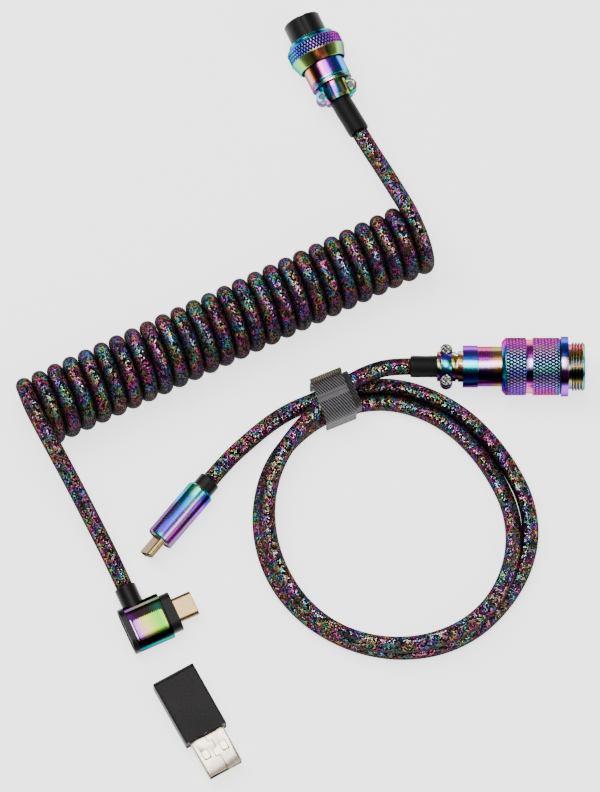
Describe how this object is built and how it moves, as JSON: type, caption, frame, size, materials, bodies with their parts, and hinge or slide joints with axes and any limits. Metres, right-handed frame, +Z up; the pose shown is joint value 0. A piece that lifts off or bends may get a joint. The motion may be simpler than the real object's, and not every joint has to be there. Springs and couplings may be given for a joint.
{
  "type": "coiled keyboard cable set",
  "caption": "Detachable braided keyboard cable set: coiled cable with round locking plug and angled plug, tied straight cable with round receptacle and small plug, and a plug adapter.",
  "frame": {"origin": "on the resting plane below the middle of the connectors' bounding box (free cord left out)", "axes": "+Z up from the resting plane; +Y along the longer side of the layout, from the adapter towards the round plug; +X towards the receptacle's open end"},
  "size_m": [0.1871, 0.2569, 0.0244],
  "materials": {
    "braid": "woven, black net over coloured metallic strands",
    "iridescent_sleeve": "anodised, iridescent",
    "iridescent_ring": "anodised, iridescent, knurled",
    "iridescent_shell": "anodised, iridescent",
    "gold_contact": "gold plated",
    "gold_shell": "gold plated, satin",
    "black_plastic": "fine texture",
    "black_gloss": "semi-gloss",
    "heat_shrink": "matte",
    "insulator": "moulded",
    "steel": "bright",
    "board": "solder mask",
    "tie": "woven hook-and-loop",
    "seal": "smooth",
    "silver_shell": "nickel plated"
  },
  "bodies": {
    "coiled_cable": {"angled_plug_sleeve": "iridescent_sleeve", "angled_plug_end_cap": "black_gloss", "angled_plug_core": "black_plastic", "angled_plug_collar": "black_plastic", "angled_plug_strain_relief": "black_plastic", "angled_plug_shell": "gold_shell", "angled_plug_insulator": "insulator", "angled_plug_contacts": "gold_contact", "angled_plug_board": "board", "coil_leg_cord": "braid", "coil_cord": "braid"},
    "round_plug_end": {"coil_lead_cord": "braid", "round_plug_barrel": "iridescent_shell", "round_plug_nose": "insulator", "round_plug_sockets": "gold_contact", "round_plug_retaining_clip": "steel", "round_plug_clamp_saddle": "iridescent_shell", "round_plug_clamp_screws": "steel", "round_plug_heat_shrink": "heat_shrink"},
    "coupling_ring": {"coupling_ring": "iridescent_ring"},
    "straight_cable": {"receptacle_shell": "iridescent_ring", "receptacle_seal_ring": "seal", "receptacle_back_shell": "iridescent_shell", "receptacle_insulator": "insulator", "receptacle_pins": "gold_contact", "receptacle_clamp_saddle": "iridescent_shell", "receptacle_clamp_screws": "steel", "receptacle_heat_shrink": "heat_shrink", "straight_lead_cord": "braid", "loop_cord": "braid", "usb_lead_cord": "braid", "straight_plug_collar": "black_plastic", "straight_plug_sleeve": "iridescent_sleeve", "straight_plug_core": "black_plastic", "straight_plug_shell": "gold_shell", "straight_plug_insulator": "insulator", "straight_plug_contacts": "gold_contact", "straight_plug_board": "board", "tie_strap": "tie"},
    "tie_tab": {"tie_tab": "tie"},
    "adapter": {"adapter_housing": "black_plastic", "adapter_end_cap": "black_gloss", "adapter_usb_a_shell": "silver_shell", "adapter_usb_a_tongue": "insulator", "adapter_usb_a_contacts": "gold_contact", "adapter_usb_c_socket": "silver_shell", "adapter_usb_c_tongue": "insulator", "adapter_usb_c_contacts": "gold_contact", "adapter_board": "board", "adapter_resistors": "insulator"}
  },
  "joints": [
    {"name": "coil_stretch", "type": "slide", "parent": "coiled_cable", "child": "round_plug_end", "axis": [0.9018, 0.4321, 0], "range_m": [0, 0.04], "stiffness_N_per_m": 25, "deforming": ["coil_cord"]},
    {"name": "coupling_ring_spin", "type": "hinge", "parent": "round_plug_end", "child": "coupling_ring", "pos_m": [-0.01122, 0.11662, 0.0094], "axis": [-0.4242, 0.9056, 0], "continuous": true},
    {"name": "straight_cable_lift", "type": "slide", "parent": "coiled_cable", "child": "straight_cable", "axis": [0, 0, 1], "range_m": [0, 0.06]},
    {"name": "tie_tab_peel", "type": "hinge", "parent": "straight_cable", "child": "tie_tab", "pos_m": [-0.00527, -0.00235, 0.01395], "axis": [0.9239, 0.3827, 0], "range_deg": [0, 100]},
    {"name": "adapter_lift", "type": "slide", "parent": "coiled_cable", "child": "adapter", "axis": [0, 0, 1], "range_m": [0, 0.06]}
  ]
}
